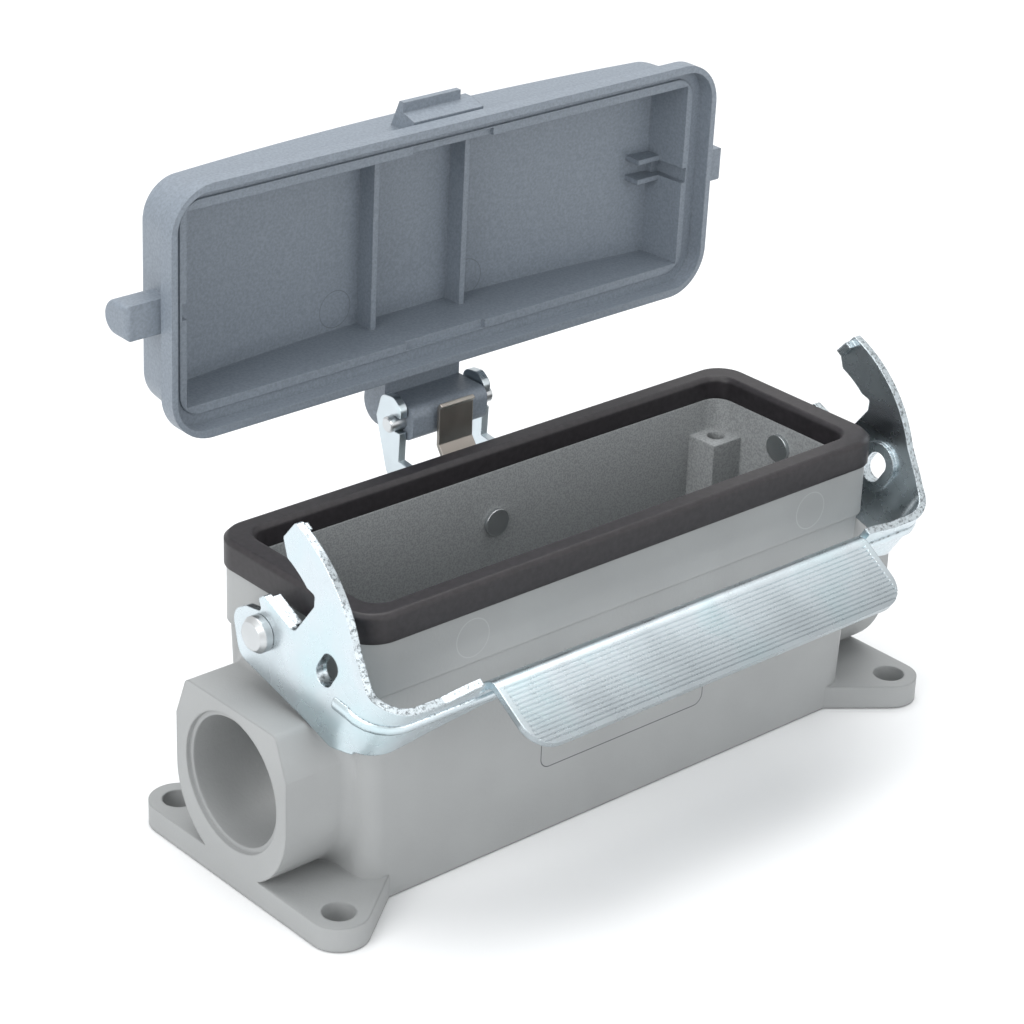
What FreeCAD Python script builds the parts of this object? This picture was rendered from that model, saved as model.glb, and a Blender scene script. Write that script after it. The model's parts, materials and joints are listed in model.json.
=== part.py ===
import FreeCAD, Part
import os
import Sketcher
from FreeCAD import Placement, Rotation, Vector

# Heavy-duty rectangular connector: bulkhead housing with a cable entry, hinged cover and locking lever.
# Origin at the centre of the mounting face, +Z up, cable entry towards -X, cover hinge towards +Y.

os.makedirs("parts", exist_ok=True)
doc = FreeCAD.newDocument("RectangularConnector")
sheet = doc.addObject("Spreadsheet::Sheet", "Sizes")

SIZES = {
    # Housing: collar, tapered body and cavity
    "collar_half_x": 59.7,
    "collar_half_y": 20.0,
    "collar_top": 50.1,
    "collar_high": 10.3,
    "collar_round": 5.0,
    "step_in_x": 0.7,
    "step_in_y": 0.8,
    "base_draft_x": 1.7,
    "base_draft_y": 0.3,
    "body_round": 4.0,
    "tongue_in_x": 1.1,
    "tongue_in_y": 0.4,
    "tongue_wall_x": 2.0,
    "tongue_wall_y": 1.4,
    "tongue_high": 3.5,
    "rebate_rise": 0.9,
    "end_wall": 4.5,
    "side_wall": 3.2,
    "cavity_round": 3.5,
    "floor_thick": 3.0,
    # Insert posts
    "insert_from_end": 3.2,
    "insert_from_side": 3.3,
    "post_length": 7.0,
    "post_width": 6.8,
    "post_below_collar": 5.4,
    "insert_tap_dia": 3.3,
    "insert_tap_depth": 12.0,
    # Mounting feet
    "foot_hole_out_x": 8.7,
    "foot_hole_out_y": 3.6,
    "foot_hole_dia": 5.8,
    "foot_round": 5.3,
    "foot_root_in": 4.8,
    "foot_flare": 0.76,
    "foot_thick": 4.5,
    # End bosses and cable entry
    "boss_below_collar": 15.5,
    "boss_half": 15.2,
    "boss_top_in": 2.9,
    "boss_shoulder_drop": 7.6,
    "boss_centre_drop": 16.8,
    "boss_edge_round": 1.5,
    "boss_root_round": 2.5,
    "entry_rise": 2.4,
    "entry_wall": 3.6,
    "entry_rim_wide": 0.9,
    "entry_rim_deep": 0.8,
    # Rim gasket
    "gasket_over_x": 0.3,
    "gasket_over_y": 1.0,
    "gasket_high": 5.2,
    "gasket_round": 6.0,
    "gasket_edge": 0.7,
    # Locking lever, drawn closed about its pivot
    "pivot_below_collar": 3.8,
    "lever_open_angle": 33.0,
    "arm_gap": 1.8,
    "lever_sheet": 1.4,
    "web_gap": 5.9,
    "lever_bend": 7.4,
    "web_drop": 2.0,
    "web_high": 8.2,
    "web_corner_low": 1.6,
    "web_corner_slope": 4.4,
    "flap_half_x": 43.3,
    "flap_reach": 13.8,
    "flap_corner": 5.4,
    "fold_round": 2.8,
    "groove_first": 1.5,
    "groove_pitch": 0.84,
    "groove_count": 14,
    "groove_wide": 0.6,
    "groove_deep": 0.24,
    "relief_width": 1.6,
    "relief_deep": 3.0,
    "hook_high": 7.3,
    "hook_back": 5.3,
    "hook_half": 3.2,
    "hook_flange": 1.5,
    "nose_gap": 1.3,
    "arm_front": 16.6,
    "mouth_front": 5.9,
    "prong_back": 3.9,
    "lobe_back": 7.4,
    "lobe_low": 9.1,
    "heel_forward": 22.2,
    "slot_forward": 14.2,
    "slot_width": 4.2,
    "slot_length": 6.8,
    "slot_ring": 1.9,
    "slot_ring_high": 0.8,
    # Lever pivots
    "pivot_shank_dia": 4.0,
    "pivot_running_gap": 0.06,
    "pivot_shoulder_wide": 1.0,
    "pivot_head_wide": 1.2,
    "pivot_head_thick": 2.3,
    "pivot_tail_wide": 0.6,
    "pivot_tail_thick": 0.8,
    "fit_gap": 0.3,
    # Cover hinge
    "hinge_out": 10.6,
    "hinge_pin_dia": 3.0,
    "hinge_pin_past": 1.5,
    "hinge_running_gap": 0.05,
    "bracket_sheet": 1.5,
    "pad_rise": 0.4,
    "pad_past": 2.5,
    "bracket_below_collar": 1.1,
    "bracket_plate_high": 15.5,
    "bracket_rivet_rise": 7.3,
    "bracket_rivet_dia": 4.0,
    "bracket_rivet_wide": 1.3,
    "bracket_rivet_thick": 1.5,
    "ear_back": 4.8,
    "ear_top": 5.0,
    "ear_front": 1.7,
    "ear_round": 1.8,
    "spring_half_x": 3.9,
    "spring_sheet": 0.7,
    "spring_gap": 0.9,
    # Cover, drawn closed with the lip face at height 0
    "cover_open_angle": 88.8,
    "lip_below_hinge": 4.1,
    "rim_wall_x": 1.2,
    "rim_wall_y": 1.5,
    "band_round_more": 2.2,
    "band_thick": 4.2,
    "band_chamfer": 1.0,
    "shell_in_x": 1.1,
    "shell_in_y": 2.3,
    "shell_end_draft": 1.6,
    "crown_end": 13.0,
    "crown_rise": 3.5,
    "shell_round": 7.0,
    "shell_back_round": 2.0,
    "channel_more": 0.4,
    "channel_wide_x": 2.3,
    "channel_wide_y": 2.0,
    "ring_face": 2.7,
    "cover_end_wall": 3.9,
    "cover_side_wall": 2.9,
    "cover_back_wall": 1.5,
    "rib_x": 10.3,
    "rib_thick": 1.2,
    "rib_high": 4.2,
    "end_rib_thick": 1.0,
    "end_rib_gap": 3.9,
    "end_rib_long": 5.0,
    "end_rib_high": 3.0,
    "end_recess": 1.0,
    "lip_notch": 0.8,
    "cover_pin_past": 3.3,
    "cover_pin_dia": 6.2,
    "cover_pin_low": 3.6,
    "cover_pin_round": 0.9,
    "tab_half_x": 7.8,
    "tab_lip_short": 2.8,
    "tab_reach": 7.2,
    "tab_rise": 0.9,
    "tab_lip": 2.7,
    "tab_lip_thick": 1.2,
    "block_half_x": 8.7,
    "block_front": 3.5,
    "block_side": 3.2,
    "neck_front": 8.8,
    "neck_back": 15.5,
    "neck_round": 4.0,
    "block_round": 2.0,
}

# Sizes that follow from the driving ones
DERIVED = {
    "step_height": "collar_top - collar_high",
    "step_half_x": "collar_half_x - step_in_x",
    "step_half_y": "collar_half_y - step_in_y",
    "base_half_x": "step_half_x - base_draft_x",
    "base_half_y": "step_half_y - base_draft_y",
    "tongue_half_x": "collar_half_x - tongue_in_x",
    "tongue_half_y": "collar_half_y - tongue_in_y",
    "tongue_top": "collar_top + tongue_high",
    "rebate_half_x": "tongue_half_x - tongue_wall_x",
    "rebate_half_y": "tongue_half_y - tongue_wall_y",
    "rebate_height": "collar_top + rebate_rise",
    "cavity_half_x": "collar_half_x - end_wall",
    "cavity_half_y": "collar_half_y - side_wall",
    "insert_hole_x": "cavity_half_x - insert_from_end",
    "insert_hole_y": "cavity_half_y - insert_from_side",
    "post_inner_x": "cavity_half_x - post_length",
    "post_inner_y": "cavity_half_y - post_width",
    "post_top": "collar_top - post_below_collar",
    "foot_hole_x": "base_half_x + foot_hole_out_x",
    "foot_hole_y": "base_half_y + foot_hole_out_y",
    "foot_end_x": "foot_hole_x + foot_round",
    "foot_root_x": "base_half_x - foot_root_in",
    "foot_corner_y": "base_half_y + foot_flare * (foot_end_x - foot_root_x)",
    "boss_top": "collar_top - boss_below_collar",
    "boss_top_half": "boss_half - boss_top_in",
    "boss_shoulder": "boss_top - boss_shoulder_drop",
    "boss_centre_height": "boss_top - boss_centre_drop",
    "entry_height": "boss_centre_height + entry_rise",
    "entry_dia": "2 * (boss_half - entry_wall)",
    "entry_rim_dia": "entry_dia + 2 * entry_rim_wide",
    "gasket_half_x": "collar_half_x + gasket_over_x",
    "gasket_half_y": "collar_half_y + gasket_over_y",
    "gasket_top": "collar_top + gasket_high",
    "channel_half_x": "gasket_half_x + fit_gap",
    "channel_half_y": "gasket_half_y + fit_gap",
    "channel_round": "gasket_round + fit_gap",
    "channel_deep": "ring_face + channel_more",
    "band_half_x": "channel_half_x + rim_wall_x",
    "band_half_y": "channel_half_y + rim_wall_y",
    "band_round": "channel_round + band_round_more",
    "shell_half_x": "band_half_x - shell_in_x",
    "shell_half_y": "band_half_y - shell_in_y",
    "shell_back_half_x": "shell_half_x - shell_end_draft",
    "crown_middle": "crown_end + crown_rise",
    "ring_half_x": "channel_half_x - channel_wide_x",
    "ring_half_y": "channel_half_y - channel_wide_y",
    "hollow_half_x": "shell_half_x - cover_end_wall",
    "hollow_half_y": "shell_half_y - cover_side_wall",
    "hollow_back_half_x": "shell_back_half_x - cover_end_wall + 0.9",
    "rib_front": "crown_middle - cover_back_wall - rib_high",
    "cover_pin_reach": "lever_outer_x + cover_pin_past",
    "lever_outer_x": "band_half_x + arm_gap + lever_sheet",
    "lever_front": "band_half_y + web_gap",
    "lip_height": "gasket_top + fit_gap - ring_face",
    "pivot_height": "collar_top - pivot_below_collar",
    "pin_low": "lip_height + cover_pin_low - pivot_height",
    "nose_z": "pin_low + cover_pin_dia + nose_gap",
    "arm_round": "nose_z + hook_high",
    "web_bottom": "pin_low - web_drop",
    "web_top": "web_bottom + web_high",
    "web_corner_top": "web_top - web_corner_low",
    "slot_y": "-slot_forward",
    "slot_z": "pin_low - 0.5",
    "pivot_shoulder_dia": "pivot_shank_dia + 2 * pivot_shoulder_wide",
    "pivot_head_dia": "pivot_shank_dia + 2 * pivot_head_wide",
    "pivot_tail_dia": "pivot_shank_dia + 2 * pivot_tail_wide",
    "hinge_y": "band_half_y + hinge_out",
    "hinge_height": "lip_height + lip_below_hinge",
    "ear_outer_x": "block_half_x + fit_gap + bracket_sheet",
    "hinge_pin_half": "ear_outer_x + hinge_pin_past",
    "pad_face": "collar_half_y + pad_rise",
    "pad_half_x": "ear_outer_x + pad_past",
    "bracket_high": "collar_top - bracket_below_collar",
    "bracket_low": "bracket_high - bracket_plate_high",
    "bracket_rivet_height": "bracket_low + bracket_rivet_rise",
    "spring_face": "hinge_y - block_front - spring_gap",
}


def fill_sheet():
    """Write one cell per driving size, with its name as alias."""
    for row, (name, value) in enumerate(SIZES.items(), start=1):
        sheet.set("A%d" % row, name)
        sheet.set("B%d" % row, "%g" % value)
        sheet.setAlias("B%d" % row, name)
    doc.recompute()


def bound(text):
    """Turn size names in a formula into references to the sheet."""
    words = []
    word = ""
    for letter in text + " ":
        if letter.isalnum() or letter == "_":
            word += letter
        else:
            if word in DERIVED:
                words.append("(" + bound(DERIVED[word]) + ")")
            else:
                words.append("Sizes." + word if word in SIZES else word)
            words.append(letter)
            word = ""
    return "".join(words).strip()


def number(text):
    """Present value of a formula of size names."""
    value = sheet.evalExpression(bound(text))
    return float(getattr(value, "Value", value))


def new_body(name):
    body = doc.addObject("PartDesign::Body", name)
    body.Label = name
    return body


def plane_sketch(body, name, plane, offset):
    """Sketch on one of the body's own origin planes, at an offset along its normal."""
    sketch = body.newObject("Sketcher::SketchObject", name)
    for item in body.Origin.OriginFeatures:
        if item.Role == plane:
            sketch.AttachmentSupport = (item, "")
    sketch.MapMode = "FlatFace"
    if offset:
        sketch.setExpression("AttachmentOffset.Base.z", bound(offset))
    return sketch


def fix_value(sketch, kind, geometry, point, text):
    """Hold one coordinate of a sketch point at a formula measured from the origin."""
    index = sketch.addConstraint(Sketcher.Constraint(kind, -1, 1, geometry, point, number(text)))
    sketch.setExpression("Constraints[%d]" % index, bound(text))


def fix_point(sketch, geometry, point, x_text, y_text):
    fix_value(sketch, "DistanceX", geometry, point, x_text)
    fix_value(sketch, "DistanceY", geometry, point, y_text)


def polygon(sketch, corners, arcs=None):
    """Closed outline through corners given as pairs of formulas; a side in arcs bows about the origin."""
    points = [Vector(number(x), number(y), 0) for x, y in corners]
    first = sketch.GeometryCount
    count = len(points)
    ends = []
    for index in range(count):
        start, stop = points[index], points[(index + 1) % count]
        if arcs and index in arcs:
            crest = (start + stop).normalize() * number(arcs[index])
            sketch.addGeometry(Part.Arc(start, crest, stop), False)
            ends.append((1, 2) if start.cross(stop).z > 0 else (2, 1))
        else:
            sketch.addGeometry(Part.LineSegment(start, stop), False)
            ends.append((1, 2))
    for index in range(count):
        after = (index + 1) % count
        sketch.addConstraint(Sketcher.Constraint("Coincident", first + index, ends[index][1],
                                                 first + after, ends[after][0]))
    for index, (x, y) in enumerate(corners):
        fix_point(sketch, first + index, ends[index][0], x, y)
    for index, radius in (arcs or {}).items():
        held = sketch.addConstraint(Sketcher.Constraint("Radius", first + index, number(radius)))
        sketch.setExpression("Constraints[%d]" % held, bound(radius))


def rectangle(sketch, left, right, low, high):
    polygon(sketch, [(left, low), (right, low), (right, high), (left, high)])


def circle(sketch, x, y, diameter):
    centre = Vector(number(x), number(y), 0)
    index = sketch.addGeometry(Part.Circle(centre, Vector(0, 0, 1), number(diameter) / 2), False)
    fix_point(sketch, index, 3, x, y)
    held = sketch.addConstraint(Sketcher.Constraint("Diameter", index, number(diameter)))
    sketch.setExpression("Constraints[%d]" % held, bound(diameter))


def round_rectangle(sketch, half_x, half_y, radius):
    """Rectangle about the origin with four equal corner arcs."""
    a, b, r = number(half_x), number(half_y), number(radius)
    first = sketch.GeometryCount
    ends = [
        ((-a + r, -b), (a - r, -b)),
        ((a, -b + r), (a, b - r)),
        ((a - r, b), (-a + r, b)),
        ((-a, b - r), (-a, -b + r)),
    ]
    for (x0, y0), (x1, y1) in ends:
        sketch.addGeometry(Part.LineSegment(Vector(x0, y0, 0), Vector(x1, y1, 0)), False)
    centres = [(a - r, -b + r, -90), (a - r, b - r, 0), (-a + r, b - r, 90), (-a + r, -b + r, 180)]
    for x, y, start in centres:
        ring = Part.Circle(Vector(x, y, 0), Vector(0, 0, 1), r)
        low = FreeCAD.Units.Quantity("%g deg" % start).getValueAs("rad").Value
        high = FreeCAD.Units.Quantity("%g deg" % (start + 90)).getValueAs("rad").Value
        sketch.addGeometry(Part.ArcOfCircle(ring, low, high), False)
    for index in range(4):
        arc = first + 4 + index
        sketch.addConstraint(Sketcher.Constraint("Coincident", first + index, 2, arc, 1))
        sketch.addConstraint(Sketcher.Constraint("Coincident", arc, 2, first + (index + 1) % 4, 1))
    far_x, far_y = "(%s)" % half_x, "(%s)" % half_y
    near_x, near_y = "(%s - (%s))" % (far_x, radius), "(%s - (%s))" % (far_y, radius)
    arcs = [
        (near_x, "-" + near_y, near_x, "-" + far_y, "DistanceY", "-" + near_y),
        (near_x, near_y, far_x, near_y, "DistanceX", near_x),
        ("-" + near_x, near_y, "-" + near_x, far_y, "DistanceY", near_y),
        ("-" + near_x, "-" + near_y, "-" + far_x, "-" + near_y, "DistanceX", "-" + near_x),
    ]
    for index, (centre_x, centre_y, start_x, start_y, kind, end) in enumerate(arcs):
        arc = first + 4 + index
        fix_point(sketch, arc, 3, centre_x, centre_y)
        fix_point(sketch, arc, 1, start_x, start_y)
        fix_value(sketch, kind, arc, 2, end)


def feature(body, kind, name, sketch, length, reverse=False, both=False):
    """Pad or Pocket of a sketch."""
    made = body.newObject("PartDesign::" + kind, name)
    made.Profile = sketch
    if length == "all":
        made.Type = "ThroughAll"
    else:
        made.setExpression("Length", bound(length))
    made.Reversed = reverse
    if both:
        made.SideType = "Symmetric"
    sketch.Visibility = False
    return made


def axis_line(edge, axis):
    """True when a straight edge runs along the given axis."""
    if not isinstance(edge.Curve, Part.Line):
        return False
    return abs(abs(edge.tangentAt(edge.FirstParameter).dot(axis)) - 1) < 1e-4


def edges_where(body, test):
    """Names of the body's present edges that pass a test."""
    doc.recompute()
    names = []
    for index, edge in enumerate(body.Shape.Edges, start=1):
        if test(edge):
            names.append("Edge%d" % index)
    return names


def round_edges(body, name, radius, test, kind="Fillet"):
    """Fillet or chamfer the edges that pass a test."""
    names = edges_where(body, test)
    if not names:
        raise ValueError("no edges for " + name)
    base = body.Tip
    made = body.newObject("PartDesign::" + kind, name)
    made.Base = (base, names)
    made.setExpression("Radius" if kind == "Fillet" else "Size", bound(radius))
    doc.recompute()
    return made


def arm_edges(corners):
    """Test for edges along X that pass through the given side-view corners."""
    spots = [(number(y), number(z)) for y, z in corners]
    return lambda e: axis_line(e, X_AXIS) and any(
        abs(middle(e).y - y) < 0.02 and abs(middle(e).z - z) < 0.02 for y, z in spots)


def middle(edge):
    return edge.valueAt((edge.FirstParameter + edge.LastParameter) / 2)


X_AXIS = Vector(1, 0, 0)
Y_AXIS = Vector(0, 1, 0)
Z_AXIS = Vector(0, 0, 1)


def make_housing():
    """One die casting: tapered body, collar, end bosses, feet and insert posts."""
    body = new_body("housing")
    low = plane_sketch(body, "BodyBase", "XY_Plane", "")
    round_rectangle(low, "base_half_x", "base_half_y", "body_round")
    high = plane_sketch(body, "BodyStep", "XY_Plane", "step_height")
    round_rectangle(high, "step_half_x", "step_half_y", "body_round")
    loft = body.newObject("PartDesign::AdditiveLoft", "TaperedBody")
    loft.Profile = low
    loft.Sections = [high]
    loft.Ruled = True
    collar = plane_sketch(body, "CollarOutline", "XY_Plane", "step_height")
    round_rectangle(collar, "collar_half_x", "collar_half_y", "collar_round")
    feature(body, "Pad", "Collar", collar, "collar_top - step_height")
    tongue = plane_sketch(body, "TongueOutline", "XY_Plane", "collar_top")
    round_rectangle(tongue, "tongue_half_x", "tongue_half_y", "collar_round")
    feature(body, "Pad", "Tongue", tongue, "tongue_top - collar_top")
    for side, sign in (("Left", "-"), ("Right", "")):
        foot = plane_sketch(body, side + "FootOutline", "XY_Plane", "")
        corners = []
        for x, y in (
            ("foot_root_x - 8", "-base_half_y"), ("foot_root_x", "-base_half_y"),
            ("foot_end_x", "-foot_corner_y"), ("foot_end_x", "foot_corner_y"),
            ("foot_root_x", "base_half_y"), ("foot_root_x - 8", "base_half_y"),
        ):
            corners.append((sign + "(" + x + ")", y))
        polygon(foot, corners)
        feature(body, "Pad", side + "Foot", foot, "foot_thick")
        boss = plane_sketch(body, side + "BossOutline", "YZ_Plane", sign + "foot_end_x")
        boss_outline(boss)
        feature(body, "Pad", side + "Boss", boss, "foot_end_x - cavity_half_x - 1", reverse=side == "Right")
    pad = plane_sketch(body, "HingePadOutline", "XZ_Plane", "-pad_face")
    rectangle(pad, "-pad_half_x", "pad_half_x", "bracket_low - 1", "bracket_high")
    feature(body, "Pad", "HingePad", pad, "pad_face - cavity_half_y - 0.5")
    cavity = plane_sketch(body, "CavityOutline", "XY_Plane", "floor_thick")
    round_rectangle(cavity, "cavity_half_x", "cavity_half_y", "cavity_round")
    feature(body, "Pocket", "Cavity", cavity, "all", reverse=True)
    rebate = plane_sketch(body, "RebateOutline", "XY_Plane", "rebate_height")
    round_rectangle(rebate, "rebate_half_x", "rebate_half_y", "cavity_round")
    feature(body, "Pocket", "Rebate", rebate, "all", reverse=True)
    posts = plane_sketch(body, "PostOutlines", "XY_Plane", "floor_thick - 0.5")
    for sx in ("-", ""):
        for sy in ("-", ""):
            corners = []
            for x, y in (
                ("post_inner_x", "post_inner_y"), ("cavity_half_x + 0.6", "post_inner_y"),
                ("cavity_half_x + 0.6", "cavity_half_y + 0.6"), ("post_inner_x", "cavity_half_y + 0.6"),
            ):
                corners.append((sx + "(" + x + ")", sy + "(" + y + ")"))
            polygon(posts, corners)
    feature(body, "Pad", "InsertPosts", posts, "post_top - floor_thick + 0.5")
    taps = plane_sketch(body, "InsertTaps", "XY_Plane", "post_top")
    for sx in ("-", ""):
        for sy in ("-", ""):
            circle(taps, sx + "insert_hole_x", sy + "insert_hole_y", "insert_tap_dia")
    feature(body, "Pocket", "InsertHoles", taps, "insert_tap_depth")
    feet = plane_sketch(body, "FootHoleCircles", "XY_Plane", "")
    for sx in ("-", ""):
        for sy in ("-", ""):
            circle(feet, sx + "foot_hole_x", sy + "foot_hole_y", "foot_hole_dia")
    feature(body, "Pocket", "FootHoles", feet, "foot_thick + 1", reverse=True)
    entry = plane_sketch(body, "EntryCircle", "YZ_Plane", "-foot_end_x")
    circle(entry, "0", "entry_height", "entry_dia")
    feature(body, "Pocket", "CableEntry", entry, "foot_end_x - cavity_half_x + 1", reverse=True)
    rim = plane_sketch(body, "EntryRimCircle", "YZ_Plane", "-foot_end_x")
    circle(rim, "0", "entry_height", "entry_rim_dia")
    feature(body, "Pocket", "EntryRim", rim, "entry_rim_deep", reverse=True)
    pivots = plane_sketch(body, "PivotHoles", "YZ_Plane", "")
    circle(pivots, "0", "pivot_height", "pivot_shank_dia")
    feature(body, "Pocket", "PivotBores", pivots, "2 * collar_half_x + 4", both=True)
    hinge = plane_sketch(body, "HingeRivetHole", "XZ_Plane", "-pad_face - 1")
    circle(hinge, "0", "bracket_rivet_height", "bracket_rivet_dia")
    feature(body, "Pocket", "HingeRivetBore", hinge, "pad_face - cavity_half_y + 2", reverse=True)
    top, flat = number("boss_top"), number("boss_top_half")
    round_edges(body, "BossTopEdges", "boss_edge_round", lambda e: axis_line(e, X_AXIS)
                and abs(middle(e).z - top) < 0.01 and abs(abs(middle(e).y) - flat) < 0.01)
    near_x, far_x, flank = number("base_half_x - 0.3"), number("step_half_x + 0.3"), number("boss_half")
    foot_top = number("foot_thick")
    round_edges(body, "BossRoots", "boss_root_round", lambda e: near_x < abs(middle(e).x) < far_x
                and abs(abs(middle(e).y) - flank) < 0.06 and foot_top < middle(e).z < top + 0.3)
    corner_y = number("foot_corner_y")
    round_edges(body, "FootTips", "foot_round", lambda e: axis_line(e, Z_AXIS)
                and abs(abs(middle(e).y) - corner_y) < 0.01)
    return body


def boss_outline(sketch):
    """Boss section: flat top, sloping shoulders, round underside."""
    half, low = number("boss_half"), number("boss_centre_height")
    left = Vector(-half, low, 0)
    right = Vector(half, low, 0)
    points = [right, Vector(half, number("boss_shoulder"), 0)]
    points.append(Vector(number("boss_top_half"), number("boss_top"), 0))
    points.append(Vector(-number("boss_top_half"), number("boss_top"), 0))
    points.append(Vector(-half, number("boss_shoulder"), 0))
    points.append(left)
    for index in range(5):
        sketch.addGeometry(Part.LineSegment(points[index], points[index + 1]), False)
    sketch.addGeometry(Part.Arc(left, Vector(0, low - half, 0), right), False)
    for index in range(4):
        sketch.addConstraint(Sketcher.Constraint("Coincident", index, 2, index + 1, 1))
    sketch.addConstraint(Sketcher.Constraint("Coincident", 4, 2, 5, 1))
    sketch.addConstraint(Sketcher.Constraint("Coincident", 5, 2, 0, 1))
    fix_point(sketch, 0, 1, "boss_half", "boss_centre_height")
    fix_point(sketch, 1, 1, "boss_half", "boss_shoulder")
    fix_point(sketch, 2, 1, "boss_top_half", "boss_top")
    fix_point(sketch, 3, 1, "-boss_top_half", "boss_top")
    fix_point(sketch, 4, 1, "-boss_half", "boss_shoulder")
    fix_point(sketch, 5, 1, "-boss_half", "boss_centre_height")
    fix_value(sketch, "DistanceY", 5, 3, "boss_centre_height")


def make_gasket():
    """Moulded rim gasket: inverted U over the housing tongue."""
    body = new_body("rim_gasket")
    outer = plane_sketch(body, "GasketOutline", "XY_Plane", "collar_top")
    round_rectangle(outer, "gasket_half_x", "gasket_half_y", "gasket_round")
    feature(body, "Pad", "GasketBlock", outer, "gasket_top - collar_top")
    inner = plane_sketch(body, "GasketOpening", "XY_Plane", "collar_top")
    round_rectangle(inner, "cavity_half_x", "cavity_half_y", "cavity_round")
    feature(body, "Pocket", "Opening", inner, "all", reverse=True)
    under = plane_sketch(body, "GasketUnderside", "XY_Plane", "collar_top")
    round_rectangle(under, "tongue_half_x", "tongue_half_y", "collar_round")
    feature(body, "Pocket", "InnerSkirtEnd", under, "rebate_height - collar_top", reverse=True)
    groove = plane_sketch(body, "TongueGroove", "XY_Plane", "rebate_height")
    round_rectangle(groove, "tongue_half_x", "tongue_half_y", "collar_round")
    round_rectangle(groove, "rebate_half_x", "rebate_half_y", "cavity_round")
    feature(body, "Pocket", "GrooveForTongue", groove, "tongue_top - rebate_height", reverse=True)
    top = number("gasket_top")
    round_edges(body, "SoftTop", "gasket_edge", lambda e: abs(middle(e).z - top) < 0.01, "Chamfer")
    return body


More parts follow.
